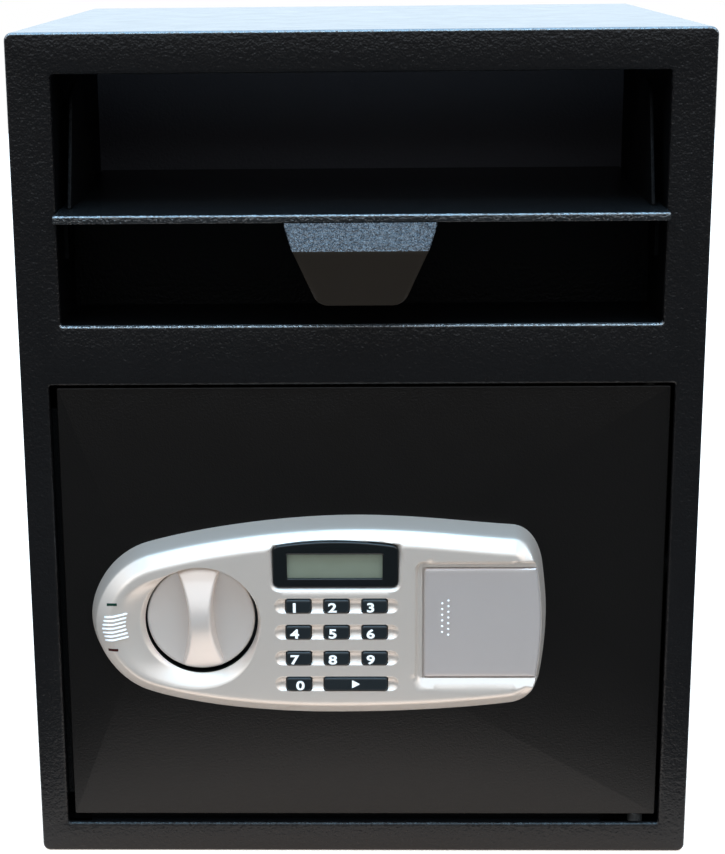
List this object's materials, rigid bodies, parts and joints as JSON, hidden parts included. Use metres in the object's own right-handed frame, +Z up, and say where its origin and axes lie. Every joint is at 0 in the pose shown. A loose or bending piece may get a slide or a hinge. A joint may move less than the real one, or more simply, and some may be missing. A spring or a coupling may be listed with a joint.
{
  "type": "drop safe with tilting deposit hopper",
  "caption": "Black steel under-counter drop safe with a tilting deposit hopper above a door with an electronic keypad lock, turning knob and sliding bolts.",
  "frame": {"origin": "middle of the cabinet's footprint, on the floor", "axes": "+X right, +Y back, +Z up, seen from the front"},
  "size_m": [0.35, 0.3585, 0.438],
  "materials": {
    "black_coat": "black hammered powder coat, glossy",
    "felt": "dark needled felt",
    "zinc": "zinc plated",
    "nylon": "natural nylon",
    "door_coat": "black powder coat, fine grain, satin",
    "silver": "silver painted, satin",
    "board_green": "green laminate",
    "rubber_grey": "matt silicone rubber",
    "display_black": "polished black",
    "display_grey": "grey liquid crystal glass",
    "green_paint": "dark green paint",
    "red_plastic": "glossy",
    "key_black": "dark moulded, satin",
    "cell_sleeve": "printed sleeve, plain",
    "bronze": "sintered bronze",
    "copper": "wound copper wire under tape",
    "bright_steel": "turned and polished"
  },
  "bodies": {
    "cabinet": {"cabinet_shell": "black_coat", "front_frame": "black_coat", "back_panel": "black_coat", "floor_mat": "felt", "chute_sides": "black_coat", "recess_tray": "black_coat", "chute_baffle": "black_coat", "rest_brackets": "zinc", "pivot_pins": "zinc", "latch_keeper": "black_coat", "door_stops": "black_coat", "hinge_brackets": "black_coat", "hinge_pins": "zinc"},
    "hopper": {"hopper_plate": "black_coat", "hopper_ears": "black_coat", "hopper_cheeks": "black_coat", "pivot_bushes": "nylon", "pull_handle": "black_coat"},
    "door": {"door_plate": "door_coat", "door_pan": "door_coat", "back_cover": "door_coat", "cover_screws": "zinc", "hinge_lugs": "black_coat", "lock_housing": "silver", "housing_screws": "zinc", "circuit_board": "board_green", "key_mat": "rubber_grey", "display_frame": "display_black", "display_module": "display_grey", "open_mark": "green_paint", "shut_mark": "red_plastic", "battery_tray": "key_black", "battery_cells": "cell_sleeve", "battery_contacts": "zinc", "shaft_bush": "bronze", "carriage_guides": "zinc", "solenoid_frame": "zinc", "solenoid_coil": "copper", "plunger_spring": "zinc", "reset_switch": "key_black"},
    "knob_group": {"knob": "silver", "knob_shaft": "zinc", "cam_disc": "zinc"},
    "bolt_group": {"bolt_carriage": "zinc", "lock_bolts": "bright_steel"},
    "battery_cover_body": {"battery_cover": "silver"},
    "plunger_body": {"solenoid_plunger": "zinc"},
    "reset_body": {"reset_button": "red_plastic"},
    "key_0_body": {"key_0": "key_black"},
    "key_1_body": {"key_1": "key_black"},
    "key_2_body": {"key_2": "key_black"},
    "key_3_body": {"key_3": "key_black"},
    "key_4_body": {"key_4": "key_black"},
    "key_5_body": {"key_5": "key_black"},
    "key_6_body": {"key_6": "key_black"},
    "key_7_body": {"key_7": "key_black"},
    "key_8_body": {"key_8": "key_black"},
    "key_9_body": {"key_9": "key_black"},
    "key_start_body": {"key_start": "key_black"}
  },
  "joints": [
    {"name": "hopper_tilt", "type": "hinge", "parent": "cabinet", "child": "hopper", "pos_m": [0, -0.081, 0.335], "axis": [-1, 0, 0], "range_deg": [0, 42]},
    {"name": "door_swing", "type": "hinge", "parent": "cabinet", "child": "door", "pos_m": [0.1495, -0.152, 0.14], "axis": [0, 0, 1], "range_deg": [0, 90]},
    {"name": "knob_turn", "type": "hinge", "parent": "door", "child": "knob_group", "pos_m": [-0.0841, -0.162, 0.1385], "axis": [0, 1, 0], "range_deg": [0, 90]},
    {"name": "bolt_slide", "type": "slide", "parent": "door", "child": "bolt_group", "axis": [-1, 0, 0], "range_m": [0, 0.014]},
    {"name": "plunger_lift", "type": "slide", "parent": "door", "child": "plunger_body", "axis": [0, 0, 1], "range_m": [0, 0.005], "deforming": ["plunger_spring"]},
    {"name": "battery_cover_slide", "type": "slide", "parent": "door", "child": "battery_cover_body", "axis": [1, 0, 0], "range_m": [0, 0.012]},
    {"name": "reset_press", "type": "slide", "parent": "door", "child": "reset_body", "axis": [0, -1, 0], "range_m": [0, 0.0015], "stiffness_N_per_m": 400, "springref_m": -0.001},
    {"name": "key_0_press", "type": "slide", "parent": "door", "child": "key_0_body", "axis": [0, 1, 0], "range_m": [0, 0.0012], "stiffness_N_per_m": 300, "springref_m": -0.001},
    {"name": "key_1_press", "type": "slide", "parent": "door", "child": "key_1_body", "axis": [0, 1, 0], "range_m": [0, 0.0012], "stiffness_N_per_m": 300, "springref_m": -0.001},
    {"name": "key_2_press", "type": "slide", "parent": "door", "child": "key_2_body", "axis": [0, 1, 0], "range_m": [0, 0.0012], "stiffness_N_per_m": 300, "springref_m": -0.001},
    {"name": "key_3_press", "type": "slide", "parent": "door", "child": "key_3_body", "axis": [0, 1, 0], "range_m": [0, 0.0012], "stiffness_N_per_m": 300, "springref_m": -0.001},
    {"name": "key_4_press", "type": "slide", "parent": "door", "child": "key_4_body", "axis": [0, 1, 0], "range_m": [0, 0.0012], "stiffness_N_per_m": 300, "springref_m": -0.001},
    {"name": "key_5_press", "type": "slide", "parent": "door", "child": "key_5_body", "axis": [0, 1, 0], "range_m": [0, 0.0012], "stiffness_N_per_m": 300, "springref_m": -0.001},
    {"name": "key_6_press", "type": "slide", "parent": "door", "child": "key_6_body", "axis": [0, 1, 0], "range_m": [0, 0.0012], "stiffness_N_per_m": 300, "springref_m": -0.001},
    {"name": "key_7_press", "type": "slide", "parent": "door", "child": "key_7_body", "axis": [0, 1, 0], "range_m": [0, 0.0012], "stiffness_N_per_m": 300, "springref_m": -0.001},
    {"name": "key_8_press", "type": "slide", "parent": "door", "child": "key_8_body", "axis": [0, 1, 0], "range_m": [0, 0.0012], "stiffness_N_per_m": 300, "springref_m": -0.001},
    {"name": "key_9_press", "type": "slide", "parent": "door", "child": "key_9_body", "axis": [0, 1, 0], "range_m": [0, 0.0012], "stiffness_N_per_m": 300, "springref_m": -0.001},
    {"name": "key_start_press", "type": "slide", "parent": "door", "child": "key_start_body", "axis": [0, 1, 0], "range_m": [0, 0.0012], "stiffness_N_per_m": 300, "springref_m": -0.001}
  ],
  "couplings": [
    {"joint": "knob_turn", "follows": "bolt_slide", "rad_per_m": 112.2}
  ]
}
